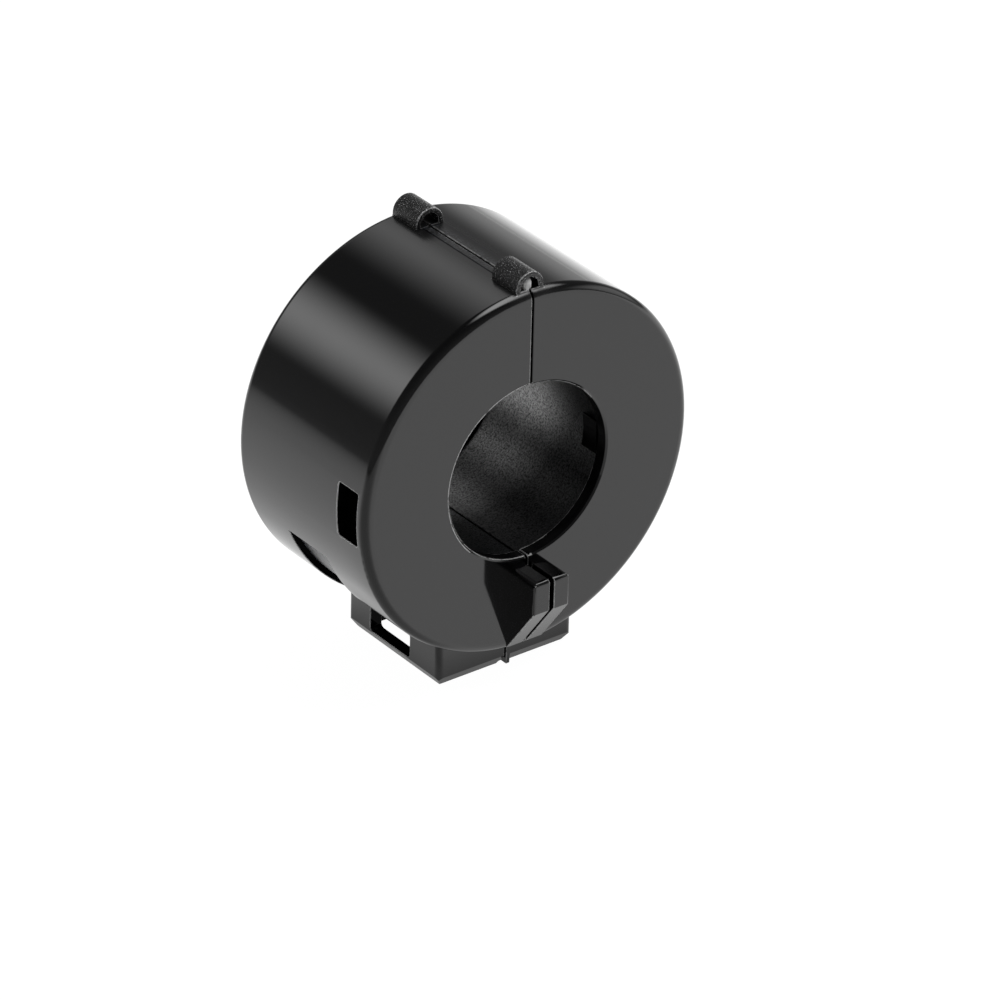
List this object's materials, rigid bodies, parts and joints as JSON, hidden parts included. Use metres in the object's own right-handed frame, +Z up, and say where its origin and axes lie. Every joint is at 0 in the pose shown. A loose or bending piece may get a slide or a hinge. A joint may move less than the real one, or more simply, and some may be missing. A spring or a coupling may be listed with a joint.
{
  "type": "clip-on ferrite bead",
  "caption": "Round clip-on ferrite bead: a hinged black plastic case around ferrite half rings, with a cable bore, a split front saddle and a hollow foot.",
  "frame": {"origin": "middle of the cable bore, on its axis", "axes": "+Y along the bore towards the rear face, +Z up towards the hinge loops, +X towards the opening half"},
  "size_m": [0.052, 0.0335, 0.0593],
  "materials": {
    "case_plastic": "polished moulded nylon",
    "ferrite": "ground sintered ferrite",
    "hinge_plastic": "spark-eroded moulded nylon"
  },
  "bodies": {
    "left_half": {"left_half_case": "case_plastic", "left_ferrite_core": "ferrite", "front_hinge_loop": "hinge_plastic", "rear_hinge_loop": "hinge_plastic"},
    "right_half": {"right_half_case": "case_plastic", "right_ferrite_core": "ferrite"}
  },
  "joints": [
    {"name": "case_hinge", "type": "hinge", "parent": "left_half", "child": "right_half", "pos_m": [0, 0, 0.02845], "axis": [0, -1, 0], "range_deg": [0, 180], "deforming": ["front_hinge_loop", "rear_hinge_loop"]}
  ]
}
